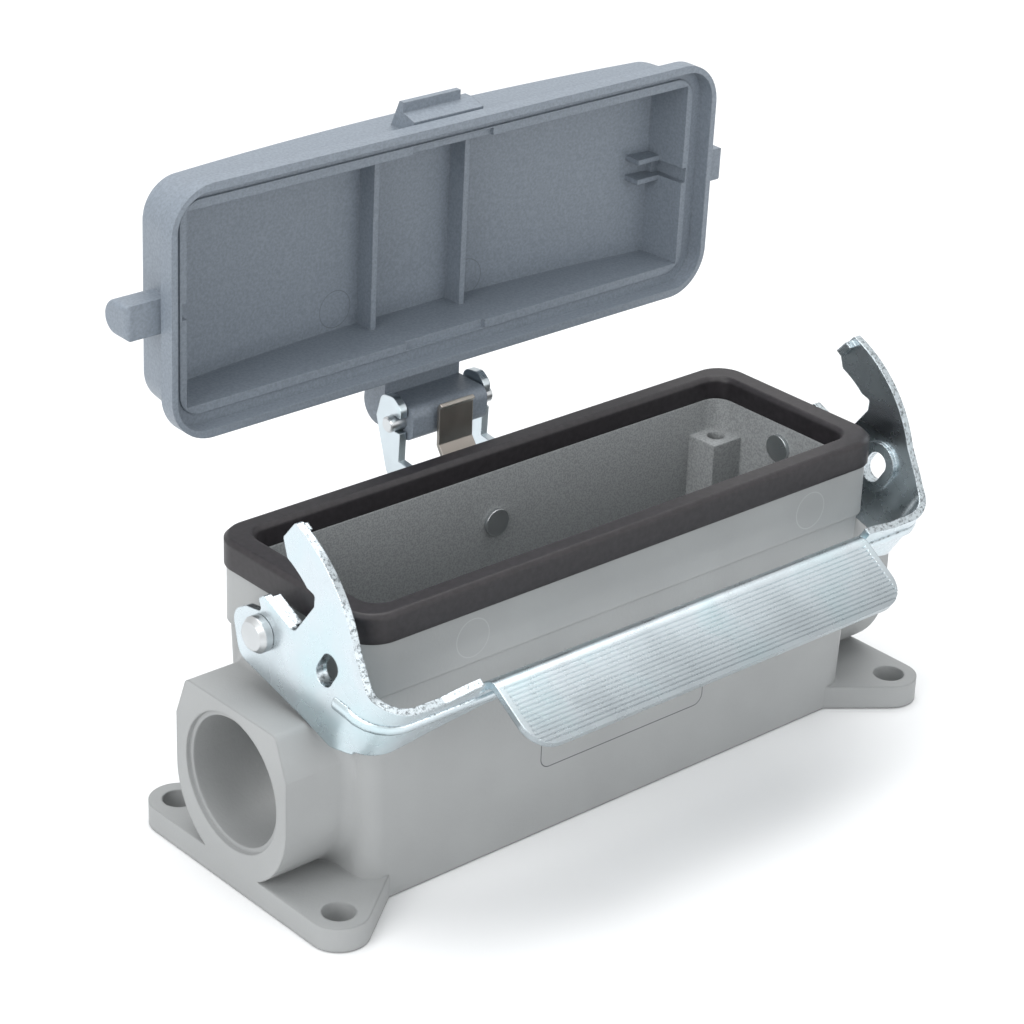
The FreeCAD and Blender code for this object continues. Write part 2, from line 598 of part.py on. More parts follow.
def make_lever():
    """Locking lever: one pressing, drawn closed about its pivot, then turned open."""
    body = new_body("locking_lever")
    channel = plane_sketch(body, "ChannelOutline", "XY_Plane", "-lobe_low - 2")
    polygon(channel, [
        ("-lever_outer_x", "lobe_back + 2"), ("-lever_outer_x", "-lever_front"),
        ("lever_outer_x", "-lever_front"), ("lever_outer_x", "lobe_back + 2"),
        ("lever_outer_x - lever_sheet", "lobe_back + 2"),
        ("lever_outer_x - lever_sheet", "lever_sheet - lever_front"),
        ("lever_sheet - lever_outer_x", "lever_sheet - lever_front"),
        ("lever_sheet - lever_outer_x", "lobe_back + 2"),
    ])
    feature(body, "Pad", "Channel", channel, "lobe_low + arm_round + 4")
    front, sheet_thick = number("lever_front"), number("lever_sheet")
    round_edges(body, "OuterBends", "lever_bend", lambda e: axis_line(e, Z_AXIS)
                and abs(middle(e).y + front) < 0.01)
    round_edges(body, "InnerBends", "lever_bend - lever_sheet", lambda e: axis_line(e, Z_AXIS)
                and abs(middle(e).y + front - sheet_thick) < 0.01)
    trim = plane_sketch(body, "SideOutline", "YZ_Plane", "")
    rectangle(trim, "-lever_front - 6", "lobe_back + 6", "-lobe_low - 6", "arm_round + 8")
    hook = [("-hook_half + 0.3", "sqrt(nose_z^2 - (hook_half - 0.3)^2)"), ("hook_half", "sqrt(nose_z^2 - hook_half^2)"),
            ("hook_back + 0.6", "nose_z + 1.9"), ("hook_back", "sqrt(arm_round^2 - hook_back^2)"),
            ("-arm_front", "sqrt(arm_round^2 - arm_front^2)")]
    web = [("-heel_forward - 1", "web_corner_top"), ("-lever_front - 2", "web_corner_top"), ("-lever_front - 2", "3.2"),
           ("-heel_forward - 2", "0"), ("-heel_forward", "-1.3"), ("-slot_forward - 1.5", "-3.1")]
    lobe = [("1.6", "-lobe_low"), ("lobe_back", "-3.6"), ("lobe_back - 2", "0.2"), ("prong_back - 1.9", "3.2")]
    mouth = [("prong_back + 0.1", "4.4"), ("prong_back - 0.5", "6.1"), ("0.7 - mouth_front", "7.6"),
             ("-mouth_front", "nose_z - 1.5"), ("1 - mouth_front", "nose_z + 0.4")]
    polygon(trim, hook + web + lobe + mouth, {0: "nose_z", 3: "arm_round"})
    feature(body, "Pocket", "SideTrim", trim, "2 * lever_outer_x + 8", both=True)
    round_edges(body, "LobeRound", "3", arm_edges(lobe[:2]))
    round_edges(body, "WebRound", "4", arm_edges([hook[4], web[0]]))
    round_edges(body, "MouthRound", "1.6", arm_edges(mouth[2:3]))
    round_edges(body, "LobeNotch", "0.8", arm_edges(lobe[2:4]))
    round_edges(body, "HookRound", "0.6", arm_edges(hook[1:4] + mouth[:2] + mouth[3:]))
    flap = plane_sketch(body, "FlapOutline", "XY_Plane", "web_top - lever_sheet")
    rectangle(flap, "-flap_half_x", "flap_half_x", "-lever_front - flap_reach", "lever_sheet - lever_front")
    feature(body, "Pad", "Flap", flap, "lever_sheet")
    rise = plane_sketch(body, "WebRise", "XZ_Plane", "lever_front")
    corners = []
    for sign in ("-", ""):
        row = [(sign + "(flap_half_x + 9)", "web_corner_top - 1"), (sign + "(flap_half_x + 9)", "web_corner_top"),
               (sign + "(flap_half_x + 4)", "web_top - 0.4"), (sign + "flap_half_x", "web_top")]
        corners += row if sign else row[::-1]
    polygon(rise, corners)
    feature(body, "Pad", "RaisedWebTop", rise, "lever_sheet", reverse=True)
    relief = plane_sketch(body, "ReliefNotches", "XZ_Plane", "lever_front + 1")
    for sign in ("-", ""):
        near, far = sign + "flap_half_x", sign + "(flap_half_x + relief_width)"
        polygon(relief, [(near, "web_top - relief_deep"), (far, "web_top - relief_deep"),
                         (far, "web_top + 1"), (near, "web_top + 1")])
    feature(body, "Pocket", "Reliefs", relief, "lever_sheet + 2")
    fold = number("web_top")
    round_edges(body, "FoldInner", "fold_round - lever_sheet", lambda e: axis_line(e, X_AXIS)
                and abs(middle(e).z - fold + sheet_thick) < 0.01 and abs(middle(e).y + front) < 0.01)
    round_edges(body, "FoldOuter", "fold_round", lambda e: axis_line(e, X_AXIS) and e.Length > 60
                and abs(middle(e).z - fold) < 0.01 and abs(middle(e).y + front - sheet_thick) < 0.01)
    under = plane_sketch(body, "WebUnderside", "XZ_Plane", "lever_front + 1")
    polygon(under, [
        ("-lever_outer_x - 2", "-lobe_low"), ("-lever_outer_x - 2", "web_bottom - web_corner_slope - 3.4"),
        ("-flap_half_x - 7", "web_bottom - 2.4"), ("2 - flap_half_x", "web_bottom"),
        ("flap_half_x - 2", "web_bottom"), ("flap_half_x + 7", "web_bottom - 2.4"),
        ("lever_outer_x + 2", "web_bottom - web_corner_slope - 3.4"), ("lever_outer_x + 2", "-lobe_low"),
    ])
    feature(body, "Pocket", "WebLowerEdge", under, "4")
    for side, sign in (("Left", "-"), ("Right", "")):
        ring = plane_sketch(body, side + "SlotRing", "YZ_Plane", sign + "(lever_outer_x - lever_sheet - slot_ring_high)")
        obround(ring, "slot_width + 2 * slot_ring", "slot_length + 2 * slot_ring")
        feature(body, "Pad", side + "SlotRim", ring, "slot_ring_high + 0.2", reverse=side == "Left")
    slot = plane_sketch(body, "SlotOutline", "YZ_Plane", "")
    obround(slot, "slot_width", "slot_length")
    circle(slot, "0", "0", "pivot_shank_dia + 2 * pivot_running_gap")
    feature(body, "Pocket", "SlotsAndPivotHoles", slot, "2 * lever_outer_x + 8", both=True)
    for side, sign in (("Left", "-"), ("Right", "")):
        lip = plane_sketch(body, side + "Lips", "YZ_Plane", sign + "(lever_outer_x - 0.2)")
        polygon(lip, [
            ("hook_back - 0.1", "arm_round - 1.6"), ("hook_back + 0.4", "nose_z + 2.6"),
            ("hook_back + 0.4 - lever_sheet", "nose_z + 2.6"), ("hook_back - 0.1 - lever_sheet", "arm_round - 1.6"),
        ])
        polygon(lip, [
            ("prong_back - 1.2", "6.16"), ("2 - mouth_front", "7.3"), ("2 - mouth_front", "6.1"), ("prong_back - 1.2", "4.96"),
        ])
        feature(body, "Pad", side + "HookFlange", lip, "lever_sheet + hook_flange - 0.2", reverse=side == "Right")
    reach = number("lever_front + flap_reach")
    round_edges(body, "FlapCorners", "flap_corner", lambda e: axis_line(e, Z_AXIS)
                and abs(middle(e).y + reach) < 0.01)
    groove = plane_sketch(body, "GripGroove", "YZ_Plane", "")
    lip = "-lever_front - groove_first"
    polygon(groove, [(lip, "web_top + 0.1"), (lip + " - groove_wide", "web_top + 0.1"),
                     (lip + " - groove_wide / 2", "web_top - groove_deep")])
    cut = feature(body, "Pocket", "FirstGroove", groove, "2 * (flap_half_x - 1.2)", both=True)
    rows = body.newObject("PartDesign::LinearPattern", "GripGrooves")
    rows.Originals = [cut]
    rows.Direction = (groove, ["H_Axis"])
    rows.Reversed = True
    rows.setExpression("Length", bound("groove_pitch * (groove_count - 1)"))
    rows.Occurrences = int(number("groove_count"))
    body.Tip = rows
    body.Placement = Placement(Vector(0, 0, number("pivot_height")), Rotation(X_AXIS, number("lever_open_angle")))
    return body


def obround(sketch, width, length):
    """Upright obround of the lever slot, centred at its place on the arm."""
    y, z = number("slot_y"), number("slot_z")
    radius = number(width) / 2
    rise = number(length) / 2 - radius
    right, left = Vector(y + radius, z, 0), Vector(y - radius, z, 0)
    up, down = Vector(0, rise, 0), Vector(0, -rise, 0)
    first = sketch.GeometryCount
    sketch.addGeometry(Part.LineSegment(right + down, right + up), False)
    sketch.addGeometry(Part.Arc(right + up, Vector(y, z + rise + radius, 0), left + up), False)
    sketch.addGeometry(Part.LineSegment(left + up, left + down), False)
    sketch.addGeometry(Part.Arc(left + down, Vector(y, z - rise - radius, 0), right + down), False)
    for index in range(4):
        sketch.addConstraint(Sketcher.Constraint("Coincident", first + index, 2, first + (index + 1) % 4, 1))
    half = "(%s) / 2" % width
    step = "((%s) - (%s)) / 2" % (length, width)
    fix_point(sketch, first, 1, "slot_y + " + half, "slot_z - " + step)
    fix_point(sketch, first, 2, "slot_y + " + half, "slot_z + " + step)
    fix_point(sketch, first + 2, 1, "slot_y - " + half, "slot_z + " + step)
    fix_point(sketch, first + 2, 2, "slot_y - " + half, "slot_z - " + step)
    fix_value(sketch, "DistanceY", first + 1, 3, "slot_z + " + step)
    fix_value(sketch, "DistanceY", first + 3, 3, "slot_z - " + step)


def revolved(name, plane, profile, axis):
    """Body turned about one of its own sketch axes."""
    body = new_body(name)
    sketch = plane_sketch(body, name + "_profile", plane, "")
    polygon(sketch, profile)
    made = body.newObject("PartDesign::Revolution", name + "_turned")
    made.Profile = sketch
    made.ReferenceAxis = (sketch, [axis])
    made.Angle = 360
    sketch.Visibility = False
    return body


def make_pivot(name, turn):
    """Shouldered rivet that carries one lever arm."""
    wall = "collar_half_x"
    inner = "cavity_half_x"
    body = revolved(name, "XY_Plane", [
        (inner + " - pivot_tail_thick", "0"), (inner + " - pivot_tail_thick", "pivot_tail_dia / 2"),
        (inner, "pivot_tail_dia / 2"), (inner, "pivot_shank_dia / 2"),
        (wall, "pivot_shank_dia / 2"), (wall, "pivot_shoulder_dia / 2"),
        ("lever_outer_x - lever_sheet - pivot_running_gap", "pivot_shoulder_dia / 2"),
        ("lever_outer_x - lever_sheet - pivot_running_gap", "pivot_shank_dia / 2"),
        ("lever_outer_x + pivot_running_gap", "pivot_shank_dia / 2"),
        ("lever_outer_x + pivot_running_gap", "pivot_head_dia / 2"),
        ("lever_outer_x + pivot_running_gap + pivot_head_thick * 0.6", "pivot_head_dia / 2"),
        ("lever_outer_x + pivot_running_gap + pivot_head_thick", "pivot_head_dia / 2 - 0.7"),
        ("lever_outer_x + pivot_running_gap + pivot_head_thick", "0"),
    ], "H_Axis")
    body.Placement = Placement(Vector(0, 0, number("pivot_height")), Rotation(Z_AXIS, turn))
    body.setExpression("Placement.Base.z", bound("pivot_height"))
    return body


def make_bracket():
    """Pressed hinge bracket: plate on the back wall with two hooked ears."""
    body = new_body("hinge_bracket")
    plate = plane_sketch(body, "BracketPlate", "XZ_Plane", "-pad_face")
    rectangle(plate, "-ear_outer_x", "ear_outer_x", "bracket_low", "bracket_high")
    feature(body, "Pad", "Plate", plate, "bracket_sheet", reverse=True)
    for side, sign in (("Left", "-"), ("Right", "")):
        ear = plane_sketch(body, side + "EarOutline", "YZ_Plane", sign + "ear_outer_x")
        polygon(ear, [
            ("pad_face", "bracket_low"), ("pad_face + 3", "bracket_low"), ("hinge_y + 1.8", "hinge_height - 10"),
            ("hinge_y + ear_back", "hinge_height"), ("hinge_y + ear_back - 1.4", "hinge_height + ear_top - 0.4"),
            ("hinge_y", "hinge_height + ear_top"), ("hinge_y - ear_front - 0.5", "hinge_height + ear_top - 1.6"),
            ("hinge_y - ear_front", "hinge_height - 7"), ("pad_face + 4", "bracket_high"), ("pad_face", "bracket_high"),
        ])
        feature(body, "Pad", side + "Ear", ear, "bracket_sheet", reverse=side == "Right")
    ear_high = number("hinge_height") + 3
    round_edges(body, "EarTops", "ear_round", lambda e: axis_line(e, X_AXIS) and middle(e).z > ear_high)
    seat = plane_sketch(body, "PinSlot", "YZ_Plane", "")
    circle(seat, "hinge_y", "hinge_height", "hinge_pin_dia")
    feature(body, "Pocket", "PinSeat", seat, "2 * ear_outer_x + 2", both=True)
    mouth = plane_sketch(body, "PinMouth", "YZ_Plane", "")
    rectangle(mouth, "hinge_y - 4", "hinge_y", "hinge_height - hinge_pin_dia / 2", "hinge_height + hinge_pin_dia / 2")
    feature(body, "Pocket", "SlotMouth", mouth, "2 * ear_outer_x + 2", both=True)
    rivet = plane_sketch(body, "BracketRivetHole", "XZ_Plane", "-pad_face - bracket_sheet - 1")
    circle(rivet, "0", "bracket_rivet_height", "bracket_rivet_dia")
    feature(body, "Pocket", "RivetHole", rivet, "bracket_sheet + 2", reverse=True)
    return body


def make_hinge_pin():
    body = revolved("hinge_pin", "XY_Plane", [
        ("-hinge_pin_half", "0"), ("-hinge_pin_half", "hinge_pin_dia / 2 - fit_gap"),
        ("fit_gap - hinge_pin_half", "hinge_pin_dia / 2"), ("hinge_pin_half - fit_gap", "hinge_pin_dia / 2"),
        ("hinge_pin_half", "hinge_pin_dia / 2 - fit_gap"), ("hinge_pin_half", "0"),
    ], "H_Axis")
    body.Placement = Placement(Vector(0, number("hinge_y"), number("hinge_height")), Rotation())
    body.setExpression("Placement.Base.y", bound("hinge_y"))
    body.setExpression("Placement.Base.z", bound("hinge_height"))
    return body


def make_spring():
    """Leaf spring that rises from the bracket rivet to the front of the cover's hinge block."""
    body = new_body("hinge_spring")
    side = plane_sketch(body, "SpringSide", "YZ_Plane", "")
    plate = "pad_face + bracket_sheet"
    polygon(side, [
        (plate, "bracket_rivet_height - 4"), (plate + " + spring_sheet", "bracket_rivet_height - 4"),
        (plate + " + spring_sheet", "bracket_high - 3"), ("spring_face - 1.2", "bracket_high + 1.6"),
        ("spring_face", "bracket_high + 3.4"), ("spring_face", "hinge_height + 2.8"),
        ("spring_face - 0.6", "hinge_height + 3.7"), ("spring_face - 1.3", "hinge_height + 3.3"),
        ("spring_face - spring_sheet", "hinge_height + 2.6"), ("spring_face - spring_sheet", "bracket_high + 3.7"),
        ("spring_face - 1.8", "bracket_high + 2.2"), (plate, "bracket_high - 2.6"),
    ])
    feature(body, "Pad", "Strip", side, "2 * spring_half_x", both=True)
    hole = plane_sketch(body, "SpringRivetHole", "XZ_Plane", "-pad_face - bracket_sheet - 3")
    circle(hole, "0", "bracket_rivet_height", "bracket_rivet_dia")
    feature(body, "Pocket", "SpringHole", hole, "5", reverse=True)
    return body


def make_bracket_rivet():
    """Rivet through spring, bracket and back wall."""
    face = "pad_face + bracket_sheet + spring_sheet"
    body = revolved("bracket_rivet", "YZ_Plane", [
        ("cavity_half_y - pivot_tail_thick", "0"), ("cavity_half_y - pivot_tail_thick", "bracket_rivet_dia / 2 + pivot_tail_wide"),
        ("cavity_half_y", "bracket_rivet_dia / 2 + pivot_tail_wide"),
        ("cavity_half_y", "bracket_rivet_dia / 2"), (face, "bracket_rivet_dia / 2"),
        (face, "bracket_rivet_dia / 2 + bracket_rivet_wide"), (face + " + 0.6", "bracket_rivet_dia / 2 + bracket_rivet_wide"),
        (face + " + bracket_rivet_thick", "bracket_rivet_dia / 2"), (face + " + bracket_rivet_thick", "0"),
    ], "H_Axis")
    body.Placement = Placement(Vector(0, 0, number("bracket_rivet_height")), Rotation())
    body.setExpression("Placement.Base.z", bound("bracket_rivet_height"))
    return body


def crown_profile(sketch, low, low_half, high_half, end, centre):
    """Section along the cover: drafted ends and a back crowned along its length."""
    a0, a1 = number(low_half), number(high_half)
    z0, z1, z2 = number(low), number(end), number(centre)
    points = [Vector(-a1, z1, 0), Vector(-a0, z0, 0), Vector(a0, z0, 0), Vector(a1, z1, 0)]
    for index in range(3):
        sketch.addGeometry(Part.LineSegment(points[index], points[index + 1]), False)
    sketch.addGeometry(Part.Arc(points[3], Vector(0, z2, 0), points[0]), False)
    for index in range(4):
        sketch.addConstraint(Sketcher.Constraint("Coincident", index, 2, (index + 1) % 4, 1))
    fix_point(sketch, 0, 1, "-(%s)" % high_half, end)
    fix_point(sketch, 1, 1, "-(%s)" % low_half, low)
    fix_point(sketch, 2, 1, low_half, low)
    fix_point(sketch, 3, 1, high_half, end)
    rise = "((%s) - (%s))" % (centre, end)
    radius = "((%s)^2 + %s^2) / (2 * %s)" % (high_half, rise, rise)
    held = sketch.addConstraint(Sketcher.Constraint("Radius", 3, number(radius)))
    sketch.setExpression("Constraints[%d]" % held, bound(radius))


def upright(edge):
    """True for a nearly upright straight edge of the drafted cover."""
    return isinstance(edge.Curve, Part.Line) and abs(edge.tangentAt(edge.FirstParameter).z) > 0.9


def make_cover():
    """Moulded cover, drawn closed with the lip face at height 0, then swung open about the hinge pin."""
    body = new_body("cover")
    shell = plane_sketch(body, "ShellSection", "XZ_Plane", "")
    crown_profile(shell, "band_thick / 2", "shell_half_x", "shell_back_half_x", "crown_end", "crown_middle")
    feature(body, "Pad", "Shell", shell, "2 * shell_half_y", both=True)
    round_edges(body, "ShellCorners", "shell_round", upright)
    low = number("band_thick")
    round_edges(body, "ShellBackRound", "shell_back_round", lambda e: middle(e).z > low * 2.5 and not upright(e))
    band = plane_sketch(body, "BandOutline", "XY_Plane", "")
    round_rectangle(band, "band_half_x", "band_half_y", "band_round")
    feature(body, "Pad", "LipBand", band, "band_thick")
    corner = 0.3 * number("band_round") + 0.2
    far_x, far_y = number("band_half_x") - corner, number("band_half_y") - corner
    round_edges(body, "BandBackEdge", "band_chamfer", lambda e: abs(middle(e).z - low) < 0.01 and (
        (abs(middle(e).x) > far_x and abs(middle(e).y) > far_y)
        or abs(middle(e).x) > far_x + corner - 0.1 or abs(middle(e).y) > far_y + corner - 0.1), "Chamfer")
    for side, sign in (("Left", "-"), ("Right", "")):
        pin = plane_sketch(body, side + "PinOutline", "YZ_Plane", sign + "cover_pin_reach")
        pin_outline(pin)
        feature(body, "Pad", side + "LockingPin", pin, "cover_pin_reach - shell_half_x + 1.5", reverse=side == "Right")
    reach = number("cover_pin_reach")
    round_edges(body, "PinEndRounds", "cover_pin_round", lambda e: abs(abs(middle(e).x) - reach) < 0.01)
    step = [("2 - shell_half_y", "band_thick"), ("-band_half_y", "band_thick")]
    slope = [("2 - shell_half_y", "tab_reach + 4.2")]
    lead = plane_sketch(body, "CatchPlatformSide", "YZ_Plane", "tab_half_x")
    polygon(lead, step + [("-band_half_y - tab_rise", "tab_reach"), ("-band_half_y - tab_rise", "tab_reach + 2")] + slope)
    feature(body, "Pad", "CatchPlatform", lead, "2 * tab_half_x", reverse=True)
    grip = plane_sketch(body, "CatchLipSide", "YZ_Plane", "-tab_half_x")
    polygon(grip, [
        ("2 - shell_half_y", "tab_reach"), ("-band_half_y - tab_lip", "tab_reach"),
        ("-band_half_y - tab_lip", "tab_reach + tab_lip_thick"), ("2 - shell_half_y", "tab_reach + 4.2"),
    ])
    feature(body, "Pad", "CatchLip", grip, "2 * tab_half_x - tab_lip_short")
    arm = plane_sketch(body, "HingeArmSide", "YZ_Plane", "")
    polygon(arm, [
        ("hinge_y - block_side", "neck_front"), ("hinge_y - block_side", "lip_below_hinge - block_front"),
        ("hinge_y + block_side", "lip_below_hinge - block_front"), ("hinge_y + block_side", "neck_back"),
        ("shell_half_y - 2", "neck_back - 3"), ("shell_half_y - 2", "neck_front"),
    ])
    feature(body, "Pad", "HingeArm", arm, "2 * block_half_x", both=True)
    front, outer = number("lip_below_hinge - block_front"), number("hinge_y + block_side")
    round_edges(body, "BlockFrontRound", "block_round", lambda e: axis_line(e, X_AXIS)
                and middle(e).y > number("hinge_y") - 5 and abs(middle(e).z - front) < 0.01)
    round_edges(body, "ArmBackRound", "neck_round", lambda e: axis_line(e, X_AXIS)
                and abs(middle(e).y - outer) < 0.01 and middle(e).z > number("neck_back") - 1)
    hollow = plane_sketch(body, "HollowSection", "XZ_Plane", "")
    crown_profile(hollow, "-1", "hollow_half_x + 0.4", "hollow_back_half_x", "crown_end - cover_back_wall", "crown_middle - cover_back_wall")
    feature(body, "Pocket", "Hollow", hollow, "2 * hollow_half_y", both=True)
    recess = plane_sketch(body, "LipRecess", "XY_Plane", "")
    round_rectangle(recess, "channel_half_x", "channel_half_y", "channel_round")
    feature(body, "Pocket", "Recess", recess, "ring_face", reverse=True)
    channel = plane_sketch(body, "ChannelRing", "XY_Plane", "")
    round_rectangle(channel, "channel_half_x", "channel_half_y", "channel_round")
    round_rectangle(channel, "ring_half_x", "ring_half_y", "channel_round - 2")
    feature(body, "Pocket", "Channel", channel, "channel_deep", reverse=True)
    ribs = plane_sketch(body, "CrossRibs", "XY_Plane", "rib_front")
    for sign in ("-", ""):
        near, far = sign + "(rib_x - rib_thick / 2)", sign + "(rib_x + rib_thick / 2)"
        polygon(ribs, [(near, "-hollow_half_y - 0.8"), (far, "-hollow_half_y - 0.8"),
                       (far, "hollow_half_y + 0.8"), (near, "hollow_half_y + 0.8")])
    feature(body, "Pad", "FullRibs", ribs, "rib_high + cover_back_wall / 2")
    ends = plane_sketch(body, "EndRibs", "XY_Plane", "crown_end - cover_back_wall - end_rib_high")
    for shift in ("-end_rib_gap / 2", "end_rib_gap / 2"):
        polygon(ends, [
            ("hollow_back_half_x - end_rib_long", shift + " - end_rib_thick / 2"), ("hollow_half_x + 1", shift + " - end_rib_thick / 2"),
            ("hollow_half_x + 1", shift + " + end_rib_thick / 2"), ("hollow_back_half_x - end_rib_long", shift + " + end_rib_thick / 2"),
        ])
    feature(body, "Pad", "ShortEndRibs", ends, "end_rib_high + cover_back_wall / 2")
    core = plane_sketch(body, "EndRecesses", "XY_Plane", "")
    for sign in ("-", ""):
        near, far = sign + "(hollow_back_half_x - 0.5)", sign + "(hollow_half_x + end_recess)"
        polygon(core, [(near, "(end_rib_thick - end_rib_gap) / 2"), (far, "(end_rib_thick - end_rib_gap) / 2"),
                       (far, "(end_rib_gap - end_rib_thick) / 2"), (near, "(end_rib_gap - end_rib_thick) / 2")])
    feature(body, "Pocket", "PinCores", core, "crown_end - cover_back_wall - 1.2", reverse=True)
    notch = plane_sketch(body, "LipNotches", "XY_Plane", "")
    for sign in ("-", ""):
        near, far = sign + "(hollow_half_y - 0.5)", sign + "(hollow_half_y + 1.4)"
        polygon(notch, [("-rib_x + rib_thick", near), ("rib_x - rib_thick", near),
                        ("rib_x - rib_thick", far), ("-rib_x + rib_thick", far)])
    feature(body, "Pocket", "LoweredLip", notch, "ring_face + lip_notch", reverse=True)
    bore = plane_sketch(body, "HingeBoreCircle", "YZ_Plane", "")
    circle(bore, "hinge_y", "lip_below_hinge", "hinge_pin_dia + 2 * hinge_running_gap")
    feature(body, "Pocket", "HingeBore", bore, "2 * block_half_x + 2", both=True)
    turn = Rotation(X_AXIS, -number("cover_open_angle"))
    hinge = Vector(0, number("hinge_y"), number("hinge_height"))
    local = Vector(0, number("hinge_y"), number("lip_below_hinge"))
    body.Placement = Placement(hinge - turn.multVec(local), turn)
    return body


def pin_outline(sketch):
    """Locking pin section: flat towards the lip, half round behind."""
    half, low = number("cover_pin_dia / 2"), number("cover_pin_low")
    right, left = Vector(half, low + half, 0), Vector(-half, low + half, 0)
    sketch.addGeometry(Part.LineSegment(Vector(-half, low, 0), Vector(half, low, 0)), False)
    sketch.addGeometry(Part.LineSegment(Vector(half, low, 0), right), False)
    sketch.addGeometry(Part.Arc(right, Vector(0, low + 2 * half, 0), left), False)
    sketch.addGeometry(Part.LineSegment(left, Vector(-half, low, 0)), False)
    for index in range(4):
        sketch.addConstraint(Sketcher.Constraint("Coincident", index, 2, (index + 1) % 4, 1))
    fix_point(sketch, 0, 1, "-cover_pin_dia / 2", "cover_pin_low")
    fix_point(sketch, 0, 2, "cover_pin_dia / 2", "cover_pin_low")
    fix_point(sketch, 2, 1, "cover_pin_dia / 2", "cover_pin_low + cover_pin_dia / 2 + 0.6")
    fix_point(sketch, 2, 2, "-cover_pin_dia / 2", "cover_pin_low + cover_pin_dia / 2 + 0.6")
    fix_value(sketch, "DistanceY", 2, 3, "cover_pin_low + cover_pin_dia / 2 + 0.6")


fill_sheet()
bodies = [
    make_housing(), make_gasket(), make_lever(),
    make_pivot("lever_pivot_left", 180), make_pivot("lever_pivot_right", 0),
    make_bracket(), make_hinge_pin(), make_spring(), make_bracket_rivet(), make_cover(),
]
doc.recompute()
for item in doc.Objects:
    if "Invalid" in item.State or "Error" in item.State:
        raise RuntimeError("failed: " + item.Name)
for body in bodies:
    if body.Shape.isNull() or not body.Shape.isValid():
        raise RuntimeError("bad shape: " + body.Name)
    print(body.Label, round(body.Shape.Volume), body.Shape.BoundBox)
    body.Shape.exportStep("parts/" + body.Label + ".step")
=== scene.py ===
import bpy
import json
import math
from mathutils import Matrix, Vector


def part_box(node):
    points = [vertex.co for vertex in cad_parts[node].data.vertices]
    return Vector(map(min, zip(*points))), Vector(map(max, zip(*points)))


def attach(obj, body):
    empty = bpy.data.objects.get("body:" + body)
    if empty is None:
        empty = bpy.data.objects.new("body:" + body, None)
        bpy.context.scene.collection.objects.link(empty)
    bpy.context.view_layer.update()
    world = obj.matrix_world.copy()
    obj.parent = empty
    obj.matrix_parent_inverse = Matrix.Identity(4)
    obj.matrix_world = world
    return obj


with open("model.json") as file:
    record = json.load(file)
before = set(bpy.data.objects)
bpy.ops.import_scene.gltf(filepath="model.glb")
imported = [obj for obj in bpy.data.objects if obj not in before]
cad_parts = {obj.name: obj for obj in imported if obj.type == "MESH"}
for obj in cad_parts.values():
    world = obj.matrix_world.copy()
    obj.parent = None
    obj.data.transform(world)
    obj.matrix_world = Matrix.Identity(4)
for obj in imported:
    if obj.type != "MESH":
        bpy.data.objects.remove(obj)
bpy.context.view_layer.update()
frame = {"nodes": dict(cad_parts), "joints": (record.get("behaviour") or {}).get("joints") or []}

bl_info = {
    "name": "Rectangular connector dresser",
    "version": (1, 0, 0),
    "blender": (4, 5, 0),
    "location": "View3D > Sidebar > Connector",
    "description": "Dresses a heavy duty rectangular connector in its real finishes",
    "category": "Object",
}

MM = 0.001

# The lever is described closed and turned open about its pivots, as the frame's joint says;
# the grip's shade starts and ends so far in front of the web
LEVER_JOINT = next(joint for joint in frame["joints"] if joint["name"] == "lever_swing")
PIVOT_HEIGHT = LEVER_JOINT["pos_m"][2]
OPEN_ANGLE = math.radians(LEVER_JOINT["range_deg"][1])
LEVER_SHEET = 1.4 * MM
SHEET_SLACK = 0.02 * MM
FLAP_SIDE = 44.5 * MM
GRIP_START = 2.0 * MM
GRIP_END = 13.0 * MM

# Places of surface detail, from the centre of the mounting face: marks as x and z, walls as y
FRONT_WALL = -18.6 * MM
COLLAR_MARKS = ((-36.5 * MM, 44.6 * MM), (43.0 * MM, 44.6 * MM))
COVER_INSIDE = 38.0 * MM
COVER_MARKS = ((-16.0 * MM, 77.0 * MM), (14.5 * MM, 76.0 * MM))
CAVITY_INSET = (4.4 * MM, 3.9 * MM)
CAVITY_FLOOR = 1.0 * MM

# How far a face's normal leans before it counts as a cut edge, a level face or a face to the front
EDGE_ON = 0.3
LEVEL = 0.8
TO_FRONT = -0.5

# Bead on the closed lever: its ends on the arms, then its height before and after each bend
BEAD_END = (-18.6 * MM, 6.6 * MM)
BEAD_LOW = 8.0 * MM
BEAD_HIGH = 11.0 * MM
BEAD_STEPS = 6
OVAL_STEPS = 4
WELD = 0.01 * MM
SMOOTH_ANGLE = math.radians(40.0)

# Studio: each lamp's place, width, height and power in watts
LAMPS = {
    "top_softbox": ((0.05, 0.1, 0.9), (0.9, 0.7), 7.5),
    "left_softbox": ((-0.85, -0.15, 0.45), (0.6, 0.6), 4.5),
    "front_fill": ((0.1, -0.9, 0.35), (0.8, 0.5), 2.2),
}
LAMP_AIM = (0.0, 0.0, 0.05)
FLOOR_SIZE = 6.0
FLOOR_DROP = 0.2 * MM
SKY_LIGHT = (0.93, 0.97, 1.0)
SKY_STRENGTH = 0.55
WHITE = (1.0, 1.0, 1.0)

# Camera of the photograph
CAMERA_AT = (-0.3291, -0.3555, 0.2836)
CAMERA_TURN = math.radians(41.82)
CAMERA_DIP = math.radians(25.86)
CAMERA_ROLL = math.radians(2.06)
CAMERA_LENS = 107.97


def colour(name, text, value):
    return bpy.props.FloatVectorProperty(name=name, description=text, default=value, size=3,
                                         subtype="COLOR", min=0.0, max=1.0)


def length(name, text, value):
    return bpy.props.FloatProperty(name=name, description=text, default=value, unit="LENGTH", precision=5)


